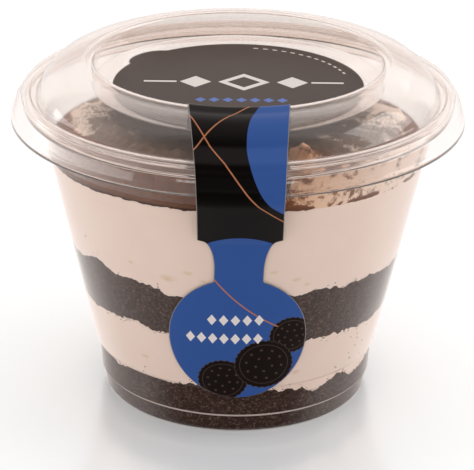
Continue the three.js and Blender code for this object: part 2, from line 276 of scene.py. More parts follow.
def add_thickness(piece, thickness):
    """Gives a piece its sheet thickness, half to each side."""
    wall = piece.modifiers.new("sheet", "SOLIDIFY")
    wall.thickness = thickness * MM
    wall.offset = 0
    wall.use_even_offset = True


def pet_sheet(name, haze):
    """Clear PET, thermoformed: glass-clear with a polished face, under a share of haze. Lamps and
    bounced light pass straight through it, and what the eye sees is bent and mirrored."""
    sheet, tree = new_material(name)
    path = add_node(tree, "LightPath")
    passing = add_node(tree, "Math",
                       {0: path.outputs["Is Shadow Ray"], 1: path.outputs["Is Diffuse Ray"]},
                       operation="MAXIMUM")
    polished = add_node(tree, "BsdfPrincipled",
                        {"Base Color": linear("#FBF6F3"), "Roughness": 0.05, "IOR": 1.57,
                         "Transmission Weight": 1.0})
    breath = add_node(tree, "BsdfDiffuse", {"Color": linear("#F6F0ED")})
    seen = add_node(tree, "MixShader", {0: haze, 1: polished, 2: breath})
    passed = add_node(tree, "BsdfTransparent", {"Color": linear("#FBF8F6")})
    finish = add_node(tree, "MixShader", {0: passing, 1: seen, 2: passed})
    add_node(tree, "OutputMaterial", {"Surface": finish})
    return sheet


clear_pet = pet_sheet("clear PET sheet", 0.0)

# The foot ring's ledge and resting edge carry a fine pale line: scuffing, and a painted highlight
# of the bright studio mirrored in the ledge.
CLEAR_SHARE = 0.35
pale_edge_pet, tree = new_material("pale PET edge")
pale_edge_diffuse = add_node(tree, "BsdfDiffuse", {"Color": linear("#E6D3CB")})
between = add_node(tree, "BsdfTransparent", {"Color": WHITE})
pale_edge_mix = add_node(tree, "MixShader", {0: CLEAR_SHARE, 1: pale_edge_diffuse, 2: between})
add_node(tree, "OutputMaterial", {"Surface": pale_edge_mix})
SCUFF_AND_HIGHLIGHT_HEIGHTS = [(4.2, 4.66), (0.3, 0.5)]
SCUFF_AND_HIGHLIGHT_FROM = 28.6  # radius

pot = new_piece("clear_pot", spun(POT_LINE), clear_pet)
pot.data.materials.append(pale_edge_pet)
# faces on the ledge and the resting edge take the pale line of scuff and painted highlight
for polygon in pot.data.polygons:
    level = polygon.center.z / MM
    outside = math.hypot(polygon.center.x, polygon.center.y) > SCUFF_AND_HIGHLIGHT_FROM * MM
    if outside and any(low < level < high for low, high in SCUFF_AND_HIGHLIGHT_HEIGHTS):
        polygon.material_index = 1
add_thickness(pot, SHEET)
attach(pot, "root")
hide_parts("pot")


# -------------------- lid
# The same clear sheet: a sunk floor that another pot stacks in, a rolled bead round the crown, a
# domed shoulder, a rim bead that presses over the pot's flange, and a flared skirt.

LID_SHEET = 0.32  # drawn thinner than the pot
LID_FLOOR = 69.95
CROWN = (32.35, 74.85)
CROWN_BEAD = 0.85
DOME = ((33.6, 75.05), (40.6, 75.5), (43.3, 68.9))
RIM = (46.05, 68.1)
RIM_BEAD = 0.9
MIST = 0.028  # on its inside, over the moist food

LID_LINE = (
    [(0, LID_FLOOR)]
    + arc(0.35, (31.25, 70.3), -90, 0, 4)
    + arc(CROWN_BEAD, CROWN, 180, 30, 12)
    + bow(*DOME, 24)
    + bow((43.5, 68.4), (43.7, 68.1), (44.3, 68.1), 4)
    + [(44.9, 68.1)]
    + arc(RIM_BEAD, RIM, 165, -10, 12)
    + [(47.4, 67.5), (47.9, 66.9)]
    + bow((48.1, 66.6), (48.6, 65.2), (48.8, 63.9), 6)
    + [(49.1, 63.6), (49.25, 62.8)]
)

misted_pet = pet_sheet("faintly misted PET sheet", MIST)
lid = new_piece("clear_lid", spun(LID_LINE), misted_pet)
add_thickness(lid, LID_SHEET)
# the skirt's cut edge is frosted
lid.data.materials.append(pale_edge_pet)
lid.modifiers["sheet"].material_offset_rim = 1
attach(lid, "root")
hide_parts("lid")


# -------------------- layers of food
# Biscuit crumb and whipped mascarpone cream, filled into the pot layer on layer. Pressed against
# the clear wall, each pair meets in a ragged line. Lines are [degrees from the front, height].

CRUMB_BASE_EDGE = [
    (-165, 10.4), (-120, 9.6), (-84, 10.8), (-66, 10.6), (-55, 9.8), (-48, 11.0), (-32, 10.9),
    (-14, 11.8), (8, 10.6), (26, 9.8), (36, 8.1), (47, 10.3), (58, 8.2), (75, 9.5), (120, 10.8)]
CREAM_LOWER_EDGE = [
    (-160, 24.6), (-120, 23.2), (-85, 24.2), (-64, 23.8), (-50, 24.8), (-40, 25.4), (-30, 24.1),
    (-10, 23.4), (12, 23.0), (30, 22.5), (45, 22.2), (62, 21.8), (80, 22.4), (115, 24.0),
    (145, 22.8)]
CRUMB_MIDDLE_EDGE = [
    (-165, 35.2), (-125, 36.4), (-90, 35.4), (-66, 35.5), (-54, 37.8), (-45, 36.1), (-31, 36.0),
    (-21, 34.1), (0, 35.2), (20, 34.6), (30, 35.6), (39, 34.3), (48, 34.9), (64, 33.8),
    (100, 35.4), (140, 34.2)]
CREAM_UPPER_EDGE = [
    (-150, 56.0), (-100, 55.4), (-60, 55.6), (-30, 56.2), (10, 56.3), (45, 55.8), (80, 55.0),
    (130, 56.2)]
FOOD_STEPS = 720  # columns round the pot, 0.3 mm apart at the wall
ROW_HEIGHT = 0.75
INTO_WALL = 0.05  # the food ends this far inside the middle of the sheet
BED_SHARES = [0, 0.3, 0.55, 0.75, 0.88, 0.95, 0.98, 1]


def smooth_step(low, high, value):
    """0 below low, 1 above high, and smooth between."""
    t = min(max((value - low) / (high - low), 0), 1)
    return t * t * (3 - 2 * t)


def edge_height(edge, azimuth):
    """The height of a meeting line at an azimuth in degrees, smooth all the way round."""
    turn = (azimuth - edge[0][0]) % 360 + edge[0][0]
    points = [*edge, (edge[0][0] + 360, edge[0][1])]
    i = bisect.bisect_right(points, turn, key=lambda point: point[0]) - 1
    (a0, h0), (a1, h1) = points[i], points[i + 1]
    return h0 + (h1 - h0) * smooth_step(a0, a1, turn)


def ragged(azimuth, seed, amount):
    """How far crumbs push a meeting line up or down: clumps, lumps and grains of 3.4, 1.2 and
    0.5 mm."""
    turn = math.radians(azimuth)
    at = Vector((36 * math.cos(turn), 36 * math.sin(turn), 10 * seed))
    clumps = noise.noise(at / 3.4) * 0.9
    lumps = noise.noise(at / 1.2 + Vector((7, 0, 0)))
    grains = noise.noise(at / 0.5 + Vector((0, 9, 0))) * 0.8
    return amount * (clumps + lumps + grains)


FLOOR_REACH = 28.3
SIDE_REACH = 28.5  # bends inside this radius are the floor's
WALL_LINE = [point for point in POT_LINE if point[0] > FLOOR_REACH]


def pot_radius(height):
    """The radius of the middle of the pot's sheet at a height."""
    i = bisect.bisect_right(WALL_LINE, height, key=lambda point: point[1])
    i = min(max(i, 1), len(WALL_LINE) - 1)
    (r0, z0), (r1, z1) = WALL_LINE[i - 1], WALL_LINE[i]
    return r0 + (r1 - r0) * (height - z0) / (z1 - z0)


def place_rows(rows):
    """A closed body of rows from the axis to the wall and back, bent out of a flat grid. Each row
    gives (radius, height) for an azimuth in degrees, 0 at the front and growing towards +X."""
    last = len(rows) - 1
    bm = bmesh.new()
    bmesh.ops.create_grid(bm, x_segments=FOOD_STEPS, y_segments=last, size=1)
    for vert in bm.verts:
        row = round((vert.co.y + 1) / 2 * last)
        azimuth = vert.co.x * 180 if 0 < row < last else 0
        radius, height = rows[row](azimuth)
        turn = math.radians(azimuth)
        vert.co = (radius * math.sin(turn), -radius * math.cos(turn), height)
    bmesh.ops.remove_doubles(bm, verts=bm.verts, dist=TOUCHING)
    bmesh.ops.recalc_face_normals(bm, faces=bm.faces)
    return bm


def across(height, shares):
    """Rows of a surface across the pot, whose height(share, azimuth) is given at a share of the
    radius."""
    def row(share):
        def point(azimuth):
            level = height(share, azimuth)
            return share * (pot_radius(level) - INTO_WALL), level
        return point
    return [row(share) for share in shares]


def beside_wall(bottom, top, row_height=ROW_HEIGHT):
    """Rows of a layer's side, one at each bend of the pot's wall and others evenly between."""
    low = min(bottom(1, a) for a in range(0, 360, 5))
    high = max(top(1, a) for a in range(0, 360, 5))
    levels = [z for r, z in WALL_LINE if r > SIDE_REACH and low < z < high]
    levels += [low + row_height * i for i in range(1, int((high - low) / row_height))]
    levels.sort()

    def row(i, level):
        def point(azimuth):
            # rows past either surface are stacked closely on it
            least = bottom(1, azimuth) + 0.02 * (i + 1)
            most = top(1, azimuth) - 0.02 * (len(levels) - i)
            height = min(max(level, least), most)
            return pot_radius(height) - INTO_WALL, height
        return point
    return [row(i, level) for i, level in enumerate(levels)]


def bed(edge, seed, amount):
    """A nearly level surface that meets the wall in a ragged line."""
    mean = sum(h for _, h in edge) / len(edge)
    known = {}

    def height(share, azimuth):
        key = round(azimuth * 4)
        if key not in known:
            known[key] = edge_height(edge, azimuth) - mean + ragged(azimuth, seed, amount)
        return mean + known[key] * share ** 3
    return height


def layer(bottom, top, bottom_shares=BED_SHARES, top_shares=BED_SHARES):
    """One layer of food between two surfaces."""
    return place_rows(across(bottom, bottom_shares) + beside_wall(bottom, top)
                      + across(top, top_shares[::-1]))


def pattern_scale(size):
    """A texture's scale from the size of one of its grains or blots in millimetres."""
    return 1 / (size * MM)


# Dark cocoa biscuit, crushed and pressed down while moist: matt and nearly black, with paler
# grains of about a third of a millimetre in it.
CRUMB_GRAIN = 1 / 2.7
CRUMB_CLUMP = 1 / 0.9
CRUMB_TONES = [(0.04, "#2E1F19"), (0.36, "#44312A"), (0.66, "#6C5950")]
crumb_brown, tree = new_material("crushed cocoa biscuit")
place = add_node(tree, "TexCoord").outputs["Object"]
grains = add_node(tree, "TexVoronoi", {"Vector": place, "Scale": pattern_scale(CRUMB_GRAIN)})
grain_tone = add_node(tree, "SeparateColor", {0: grains.outputs["Color"]})
clumps = add_node(tree, "TexNoise",
                  {"Vector": place, "Scale": pattern_scale(CRUMB_CLUMP), "Detail": 5.0, "Roughness": 0.7})
crumb_mix = add_node(tree, "Math",
                     {0: grain_tone.outputs[0], 1: clumps.outputs["Fac"]}, operation="MULTIPLY")
crumb_colour = add_node(tree, "ValToRGB", {"Fac": crumb_mix})
tones = crumb_colour.color_ramp.elements
tones.new(0.5)
for tone, (position, code) in zip(tones, CRUMB_TONES):
    tone.position = position
    tone.color = linear(code)
crumb_bumps = add_node(tree, "Bump", {"Height": crumb_mix, "Strength": 0.28, "Distance": 0.2 * MM})
crumb_face = add_node(tree, "BsdfPrincipled",
                      {"Base Color": crumb_colour.outputs["Color"], "Roughness": 0.9,
                       "Specular IOR Level": 0.2, "Normal": crumb_bumps})
add_node(tree, "OutputMaterial", {"Surface": crumb_face})

# Whipped mascarpone cream: off-white with a warm tint, dense and smooth where the wall presses it,
# with a few flattened air pockets that look a little darker.
AIR_POCKETS = [
    # degrees from the front, height, half width
    (-22.5, 38.6, 2.4), (-36, 40.5, 1.1), (-15.5, 40.6, 1.5), (-10.5, 39.0, 1.0), (12, 41.4, 1.2),
    (20, 39.0, 1.4), (24, 37.4, 1.2), (24, 14.6, 1.6), (-37, 16.4, 1.4), (-52, 39.5, 1.0),
    (96, 42, 2.2), (150, 47, 2.0), (-140, 44, 2.4), (-104, 18, 1.8), (178, 17, 2.0)]
POCKET_FLATNESS = (1, 1, 2.2)
CREAM_SWIRL = 1 / 0.09
POCKET_FRAY = 1 / 0.9
cream_white, tree = new_material("whipped mascarpone cream")
place = add_node(tree, "TexCoord").outputs["Object"]
swirl = add_node(tree, "TexNoise",
                 {"Vector": place, "Scale": pattern_scale(CREAM_SWIRL), "Detail": 4.0, "Roughness": 0.6})
frayed = add_node(tree, "TexNoise", {"Vector": place, "Scale": pattern_scale(POCKET_FRAY), "Detail": 2.0})
fray = add_node(tree, "MapRange",
                {"Value": frayed.outputs["Fac"], "From Min": 0.3, "From Max": 0.7,
                 "To Min": -0.7, "To Max": 0.7})
pockets = None
for azimuth, level, half_width in AIR_POCKETS:
    turn = math.radians(azimuth)
    radius = wall_radius(level)
    centre = (radius * MM * math.sin(turn), -radius * MM * math.cos(turn), level * MM)
    off = add_node(tree, "VectorMath", {0: place, 1: centre}, operation="SUBTRACT")
    flattened = add_node(tree, "VectorMath", {0: off, 1: POCKET_FLATNESS}, operation="MULTIPLY")
    distance = add_node(tree, "VectorMath", {0: flattened}, operation="LENGTH")
    near = add_node(tree, "MapRange",
                    {"Value": distance.outputs["Value"], "From Min": half_width * MM,
                     "From Max": half_width * 0.3 * MM, "To Min": 0.0, "To Max": 1.0})
    if pockets is None:
        pockets = near
    else:
        pockets = add_node(tree, "Math", {0: pockets, 1: near}, operation="MAXIMUM")
broken = add_node(tree, "Math", {0: pockets, 1: fray, 2: pockets}, operation="MULTIPLY_ADD")
pocketed = add_node(tree, "Math", {0: broken, 1: 0.55}, operation="MULTIPLY", use_clamp=True)
plain_cream = add_node(tree, "Mix",
                       {"Factor": swirl.outputs["Fac"], "A": linear("#EEDACD"), "B": linear("#E6CEC1")},
                       data_type="RGBA")
cream_colour = add_node(tree, "Mix",
                        {"Factor": pocketed, "A": plain_cream.outputs["Result"],
                         "B": linear("#D8BA9A")}, data_type="RGBA")
cream_face = add_node(tree, "BsdfPrincipled",
                      {"Base Color": cream_colour.outputs["Result"], "Roughness": 0.5})
add_node(tree, "OutputMaterial", {"Surface": cream_face})

base_top = bed(CRUMB_BASE_EDGE, 1, 0.55)
lower_top = bed(CREAM_LOWER_EDGE, 2, 0.5)
middle_top = bed(CRUMB_MIDDLE_EDGE, 3, 0.5)


def pot_floor(share, azimuth):
    """The level surface under the food."""
    return POT_FLOOR


crumb_base = new_piece("crumb_base_layer", layer(pot_floor, base_top, [0, 0.5, 0.965]), crumb_brown)
cream_lower = new_piece("cream_lower_layer", layer(base_top, lower_top), cream_white)
crumb_middle = new_piece("crumb_middle_layer", layer(lower_top, middle_top), crumb_brown)
for piece, node, slot in (
        (crumb_base, "crumb_base", "biscuit_crumb"),
        (cream_lower, "cream_lower", "cream"),
        (crumb_middle, "crumb_middle", "biscuit_crumb")):
    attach(piece, "root")
    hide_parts(node)


# -------------------- stray grains
# Single grains of biscuit have strayed into the cream along each line, with a few further off. They
# lie flat against the wall, and are sown by a seeded draw.

STRAY_GRAINS = 330  # along each line
FAR_GRAINS = [
    # degrees from the front, height
    (49.4, 19.5), (53.3, 19.6), (54.2, 18.3), (53.9, 16.4), (59.1, 16.5), (50.5, 15.2),
    (59.7, 13.0), (52.0, 13.6), (43.6, 12.9), (44.4, 12.6), (53.3, 11.0), (-38, 13.4),
    (-58, 42.0), (122, 15.5), (131, 44.0), (-128, 16.2), (170, 14.4)]


def wall_grains(heights, far, seed):
    """Flat grains strewn along meeting lines, and others at places of their own."""
    draw = random.Random(seed)
    spots = [(a, h, draw.uniform(0.3, 0.55)) for a, h in far]
    for height in heights:
        for i in range(STRAY_GRAINS):
            azimuth = draw.uniform(-180, 180)
            level = height(1, azimuth) + draw.gauss(0, 0.55)
            spots.append((azimuth, level, draw.uniform(0.16, 0.42)))
    bm = bmesh.new()
    for azimuth, level, size in spots:
        grain = (Matrix.Rotation(math.radians(azimuth), 4, "Z")
                 @ Matrix.Translation((0, -pot_radius(level) + INTO_WALL, level))
                 @ Matrix.Rotation(draw.uniform(-1, 1), 4, "Y")
                 @ Matrix.Diagonal((size * 0.6, 0.07, size * 0.4, 1)))
        bmesh.ops.create_icosphere(bm, subdivisions=1, radius=1, matrix=grain)
    return bm


for name, node, heights, far, seed in (
        ("stray_grains_low", "crumb_base", [base_top], FAR_GRAINS, 3),
        ("stray_grains_middle", "crumb_middle", [lower_top, middle_top], [], 5)):
    piece = new_piece(name, wall_grains(heights, far, seed), crumb_brown, smooth=False)
    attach(piece, "root")
    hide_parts(node)


# -------------------- upper cream
# The same whipped cream, heaped under the lid up to 8 mm over the line where it meets the wall.
# The heap's rim lies lower at the back.

HEAP = [(0, 63.9), (20, 64.2), (27, 64.6), (31, 64.7), (34, 63.5), (37, 61.4), (41, 57.4)]
HEAP_REACH = HEAP[-1][0]
LUMPS = [
    # degrees from the front, radius, height, width
    (-84, 32, 1.2, 3.6), (-62, 30, 0.9, 3.0), (-99, 27, 0.8, 2.4), (21.5, 32.8, 5.6, 2.0),
    (58, 31, 0.7, 3.4), (83, 34, 1.2, 3.2), (97, 29, 1.0, 3.0), (172, 30, 0.8, 5.4)]
BACK_DROP = 3.2  # how much lower the heap's rim lies at the back
COCOA_DEPTH = 1.1
CREAM_TOP_SHARES = [0, 0.3, 0.6, 0.7, 0.76, 0.82, 0.88, 0.94, 0.98, 1]


def heap_height(share, azimuth):
    """The cream's heaped surface before the fine relief."""
    radius = share * HEAP_REACH
    for (r0, z0), (r1, z1) in zip(HEAP, HEAP[1:]):
        if r0 <= radius <= r1 + 1e-6:
            level = z0 + (z1 - z0) * (radius - r0) / (r1 - r0)
            break
    turn = math.radians(azimuth)
    for lump_turn, lump_radius, rise, width in LUMPS:
        middle = math.radians(lump_turn)
        away = math.hypot(radius * math.sin(turn) - lump_radius * math.sin(middle),
                          radius * math.cos(turn) - lump_radius * math.cos(middle))
        level += rise * math.exp(-((away / width) ** 2))
    behind = smooth_step(88, 112, abs(azimuth))
    level -= BACK_DROP * behind * smooth_step(18, 32, radius) * (1 - smooth_step(37, 41, radius))
    return level + (edge_height(CREAM_UPPER_EDGE, azimuth) - CREAM_UPPER_EDGE[0][1]) * share ** 3


def cream_line(share, azimuth):
    """The top of the cream under the powder, which meets the wall in a wavy line."""
    wavy = ragged(azimuth, 4, 0.25) * smooth_step(0.9, 1.0, share)
    return heap_height(share, azimuth) - COCOA_DEPTH - 0.3 + wavy


cream_upper = new_piece("cream_upper_layer",
                        layer(middle_top, cream_line, top_shares=CREAM_TOP_SHARES), cream_white)
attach(cream_upper, "root")
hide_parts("cream_upper")


# -------------------- cocoa-dusted top
# Cocoa and fine crumb are sieved over the heaped cream. The powder is thin on the crests at both
# sides, and where it meets the wall it has drawn moisture from the cream and carries painted shade
# along the contact line.

TOP_SHARES = [i / 60 for i in range(61)]
UNDERSIDE_SHARES = [0, 0.5, 0.75, 0.9, 0.97, 1]
COCOA_ROW_HEIGHT = 0.3
BARE = [
    # where the powder lies thin: middle and width in degrees, how bare, radius where it starts
    # and where it is full
    (-80, 26, 0.52, 23, 30), (-104, 14, 0.3, 20, 27), (-150, 34, 0.8, 14, 22),
    (150, 34, 0.8, 14, 22), (68, 18, 0.34, 20, 27), (96, 18, 0.42, 24, 32), (106, 22, 0.4, 16, 24),
    (45, 3.0, 0.45, 21, 26)]
PEAK = 22  # degrees from the front to the peak right of the seal, where cream shows through
WALL_FROM = 38.5  # the powder's side against the wall lies outside this radius


def heap_relief(share, azimuth):
    """The heap with its folds and the crust of the powder, in folds of 6 mm and clods of 1.9 and
    0.8 mm."""
    turn = math.radians(azimuth)
    at = Vector((share * HEAP_REACH * math.cos(turn), share * HEAP_REACH * math.sin(turn), 0))
    folds = noise.fractal(at / 6.0, 0.8, 2.1, 4) * 0.7
    clods = noise.noise(at / 1.9 + Vector((3, 5, 0))) * 0.75 + noise.noise(at / 0.8) * 0.45
    quiet = 1 - smooth_step(0.93, 1.0, share)
    rough = 0.25 + 0.75 * smooth_step(0.55, 0.8, share)
    return heap_height(share, azimuth) + (folds + clods * rough) * quiet


def spread(azimuth, middle, width):
    """1 at a direction and falling off to both sides."""
    away = abs((azimuth - middle + 180) % 360 - 180)
    return math.exp(-((away / width) ** 2))


def cocoa_cover(x, y, z):
    """How thick the cocoa lies, how far it is stirred into the cream, and how damp and shaded it is
    (moisture, and painted shade along the wall), from 0 to 1."""
    azimuth = math.degrees(math.atan2(x, -y))
    radius = math.hypot(x, y)
    at = Vector((x, y, z))
    patchy = noise.fractal(at / 4.5, 0.8, 2.0, 4)
    fine = noise.noise(at / 1.3)
    # on the heap: thin on the crests, and stirred at the peak and round the foot
    thick = 0.92 + 0.22 * patchy + 0.08 * fine
    for middle, width, bare, start, full in BARE:
        thick -= bare * spread(azimuth, middle, width) * smooth_step(start, full, radius)
    stirred = spread(azimuth, PEAK + 0.5, 8) * smooth_step(29, 31, radius)
    thick -= 0.9 * spread(azimuth, PEAK, 8) * smooth_step(29.5, 31, radius)
    foot = smooth_step(35.5, 37.5, radius) * (1 - 0.5 * spread(azimuth, PEAK, 8))
    thick += (0.72 + 0.3 * fine - thick) * foot
    stirred += (0.7 - stirred) * foot
    wet_and_shade = 0.0
    if radius > WALL_FROM:
        # at the wall: an even damp band with painted shade along the contact line, but a broken line
        # under a smear at the front right
        right = smooth_step(8, 18, azimuth) * (1 - smooth_step(84, 100, azimuth))
        over_line = z - edge_height(CREAM_UPPER_EDGE, azimuth)
        at_line = 1 - smooth_step(0.1, 1.0, abs(over_line - 0.2))
        near_strip = spread(azimuth, 12, 22)
        broken_line = at_line * smooth_step(-0.4, 0.25, patchy + 0.5 * fine + 0.3 * near_strip)
        smeared = 0.2 + 0.2 * near_strip + 0.42 * patchy + 0.34 * fine
        thick = (1 - right) * (0.98 + 0.2 * fine) + right * (smeared + 0.7 * broken_line)
        stirred = (1 - right) * 0.34 + right * (0.1 + 0.75 * near_strip + 0.4 * broken_line)
        if radius < 40.6 and z > 57.2:
            # the flank of the heap over the band
            thick = 0.82 + 0.25 * fine
            stirred = 0.5
        # the band at the wall, darkest at the line where the cream meets it: moisture and painted contact
        # shade
        band = 0.9 - 0.65 * smooth_step(0.2, 0.9, over_line)
        wet_and_shade = (1 - right) * band + right * broken_line * 0.3
    return min(max(thick, 0), 1), min(max(stirred, 0), 1), min(max(wet_and_shade, 0), 1)


def cover_with_cocoa(bm):
    """Stores the cocoa's cover on every vertex, as red, green and blue of an attribute."""
    cover = bm.verts.layers.float_color.new("cocoa")
    for vert in bm.verts:
        vert[cover] = (*cocoa_cover(*vert.co), 1)


# Cocoa powder over cream: brown and quite matt where it lies thick, single specks on pale cream
# where it is thin, a rusty brown where it is stirred in, and nearly black where it is damp, which at
# the wall also paints the shade along the contact line. A speck is a clod of the powder, because its
# grains are too fine to show.
SPECK = 1 / 2.4
PATCH = 1 / 0.42
dusted, tree = new_material("cocoa powder on cream")
place = add_node(tree, "TexCoord").outputs["Object"]
cover = add_node(tree, "Attribute", attribute_name="cocoa")
amount = add_node(tree, "SeparateColor", {0: cover.outputs["Color"]})
specks = add_node(tree, "TexNoise",
                  {"Vector": place, "Scale": pattern_scale(SPECK), "Detail": 2.0, "Roughness": 0.7})
patches = add_node(tree, "TexNoise",
                   {"Vector": place, "Scale": pattern_scale(PATCH), "Detail": 4.0, "Roughness": 0.6})
speckle = add_node(tree, "Math", {0: specks.outputs["Fac"], 1: patches.outputs["Fac"]}, operation="ADD")
least = add_node(tree, "Math", {0: 1.42, 1: amount.outputs[0]}, operation="SUBTRACT")
over_least = add_node(tree, "Math", {0: speckle, 1: least}, operation="SUBTRACT")
covered = add_node(tree, "MapRange", {"Value": over_least, "From Min": -0.14, "From Max": 0.16})
dry_brown = add_node(tree, "Mix",
                     {"Factor": specks.outputs["Fac"], "A": linear("#514039"), "B": linear("#907C6D")},
                     data_type="RGBA")
moist_brown = add_node(tree, "Mix",
                       {"Factor": specks.outputs["Fac"], "A": linear("#371D14"), "B": linear("#A0633F")},
                       data_type="RGBA")
moist = add_node(tree, "MapRange", {"Value": amount.outputs[1], "From Min": 0.0, "From Max": 0.45})
brown = add_node(tree, "Mix",
                 {"Factor": moist, "A": dry_brown.outputs["Result"],
                  "B": moist_brown.outputs["Result"]}, data_type="RGBA")
cream_tone = add_node(tree, "Mix",
                      {"Factor": amount.outputs[1], "A": linear("#EFDCCE"), "B": linear("#DBAA82")},
                      data_type="RGBA")
dry = add_node(tree, "Mix",
               {"Factor": covered, "A": cream_tone.outputs["Result"],
                "B": brown.outputs["Result"]}, data_type="RGBA")
# the attribute's blue darkens the powder to nearly black: moisture, and painted shade at the wall contact
powder_colour = add_node(tree, "Mix",
                         {"Factor": amount.outputs[2], "A": dry.outputs["Result"], "B": linear("#2C130B")},
                         data_type="RGBA")
powder_bumps = add_node(tree, "Bump", {"Height": speckle, "Strength": 0.5, "Distance": 0.3 * MM})
powder_face = add_node(tree, "BsdfPrincipled",
                       {"Base Color": powder_colour.outputs["Result"], "Roughness": 0.95,
                        "Specular IOR Level": 0.15, "Normal": powder_bumps})
add_node(tree, "OutputMaterial", {"Surface": powder_face})

bm = place_rows(across(cream_line, UNDERSIDE_SHARES)
                + beside_wall(cream_line, heap_relief, COCOA_ROW_HEIGHT)
                + across(heap_relief, TOP_SHARES[::-1]))
cover_with_cocoa(bm)
cocoa_top = new_piece("cocoa_dusted_top", bm, dusted)
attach(cocoa_top, "root")
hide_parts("cocoa_top")


# -------------------- cocoa smear
# A thin smear of cream and cocoa is left on the inside of the wall at the front right, from the
# line where the cream meets it up towards the flange.

SMEAR_START, SMEAR_END = 13, 80  # degrees from the front
SMEAR_FOOT, SMEAR_TOP = 57.4, 65.6
SMEAR_COLUMNS, SMEAR_ROWS = 240, 32
SMEAR_SHEET = 0.16
SMEAR_INSET = 0.14  # its middle lies this far inside the middle of the pot's sheet

bm = bmesh.new()
bmesh.ops.create_grid(bm, x_segments=SMEAR_COLUMNS, y_segments=SMEAR_ROWS, size=1)
for vert in bm.verts:
    azimuth = SMEAR_START + (SMEAR_END - SMEAR_START) * (vert.co.x + 1) / 2
    turn = math.radians(azimuth)
    ends = smooth_step(0, 3, azimuth - SMEAR_START) * smooth_step(0, 9, SMEAR_END - azimuth)
    at = Vector((40 * math.cos(turn), 40 * math.sin(turn), 2))
    wavy = noise.noise(at / 2.5) * 0.8
    frayed = noise.noise(at / 0.7) * 0.3
    top = SMEAR_FOOT + (SMEAR_TOP - SMEAR_FOOT + wavy + frayed) * ends
    bottom = edge_height(CREAM_UPPER_EDGE, azimuth) + 0.1 + noise.noise(at / 0.9) * 0.3
    # it runs down past the line near the seal
    bottom -= 1.5 * spread(azimuth, 14, 16) * (1 + noise.noise(at / 1.5))
    level = bottom + (top - bottom) * (vert.co.y + 1) / 2
    radius = pot_radius(level) - SMEAR_INSET
    vert.co = (radius * math.sin(turn), -radius * math.cos(turn), level)
cover_with_cocoa(bm)
smear = new_piece("cocoa_smear", bm, dusted)
add_thickness(smear, SMEAR_SHEET)
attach(smear, "root")
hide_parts("cocoa_top")


# -------------------- seal
# One piece of printed film holds the lid shut: a disc with a lifting tab stuck in the sunk floor,
# a strip over the crown and the rim, and a neck and a round end stuck on the pot's wall.

FILM = 0.16
LIFT = 0.32  # the film's middle over the middle of the lid's sheet
WALL_LIFT = 0.4  # and over the middle of the pot's
DISC_HEIGHT = LID_FLOOR + LIFT
DISC_RADIUS = 27.2
DISC_CENTRE = (0, -2.2)
TAB_TURN = math.radians(139)
TAB_REACH, TAB_DEPTH, TAB_HALF_WIDTH = 2.2, 3.6, 6.0
# On the flat print, u runs across the seal and v along it, from the pot's axis to the front.
PRINT_SPAN = 160
PRINT_START = (-80, -32)
WALL_STRETCH = math.hypot(1, WALL_SLOPE)
TOUCH_HEIGHT = 47  # where the strip comes down onto the pot's wall
WAY_FOOT = 8  # height at which the seal's way down the wall ends


def print_place(u, v):
    """A place on the flat print as map coordinates from 0 to 1."""
    return (u - PRINT_START[0]) / PRINT_SPAN, (v - PRINT_START[1]) / PRINT_SPAN


def off_wall(height):
    """A point in the film where it is stuck on the pot's wall."""
    return wall_radius(height) + WALL_LIFT, height


STRIP_WAY = (
    [(26.5, DISC_HEIGHT - 0.02), (29.6, DISC_HEIGHT - 0.02)]
    + arc(CROWN_BEAD + LIFT, CROWN, 156, 70, 12)
    + bow((DOME[0][0], DOME[0][1] + LIFT), (DOME[1][0] + LIFT, DOME[1][1] + LIFT),
          (DOME[2][0] + LIFT, DOME[2][1]), 24)[2:-4]
    + arc(RIM_BEAD + LIFT, RIM, 58, 5, 8)
    + [(48.2, 67.05)]
    + bow((49.05 + LIFT, 64.0), (49.2 + LIFT, 62.6), (48.6, 60.6), 6)
    + bow((wall_radius(TOUCH_HEIGHT) + 0.9, TOUCH_HEIGHT + 1.8),
          off_wall(TOUCH_HEIGHT), off_wall(TOUCH_HEIGHT - 2), 4)
    + [off_wall(WAY_FOOT)]
)


def along(way, length):
    """The (radius, height) at a length along a way, whose first point's length is its radius."""
    done = way[0][0]
    for (r0, z0), (r1, z1) in zip(way, way[1:]):
        step = math.hypot(r1 - r0, z1 - z0)
        if length <= done + step:
            t = (length - done) / step
            return r0 + (r1 - r0) * t, z0 + (z1 - z0) * t
        done += step
    return way[-1]


WAY_END = STRIP_WAY[0][0] + sum(math.dist(a, b) for a, b in zip(STRIP_WAY, STRIP_WAY[1:]))
ROUND_RADIUS = 15
ROUND_HALF_HEIGHT = 15.8
ROUND_HEIGHT = 24.7
CORNER_HEIGHT = 49.9
ROUND_CENTRE = WAY_END - (ROUND_HEIGHT - WAY_FOOT) * WALL_STRETCH
CORNER = WAY_END - (CORNER_HEIGHT - WAY_FOOT) * WALL_STRETCH
BITE = (3.5, 8.0)
HALF_NECK = 5.2


def strip_half_width(v):
    """Half the seal's width at a length along it: strip, bitten corners, neck and round end."""
    if v < CORNER:
        return 11.2 - 2.25 * smooth_step(22, 66, v)
    if v < CORNER + BITE[1]:
        rest = (CORNER + BITE[1] - v) / BITE[1]
        return 8.7 - BITE[0] * math.sqrt(max(1 - rest * rest, 0))
    off = (v - ROUND_CENTRE) / ROUND_HALF_HEIGHT
    in_circle = ROUND_RADIUS * math.sqrt(max(1 - off * off, 0))
    return max(HALF_NECK, in_circle) if off < 0 else in_circle


def strip_drift(v):
    """How far the seal's middle sits right of the front."""
    return 0.2 + 0.6 * smooth_step(30, 62, v) - 0.3 * smooth_step(76, 90, v)


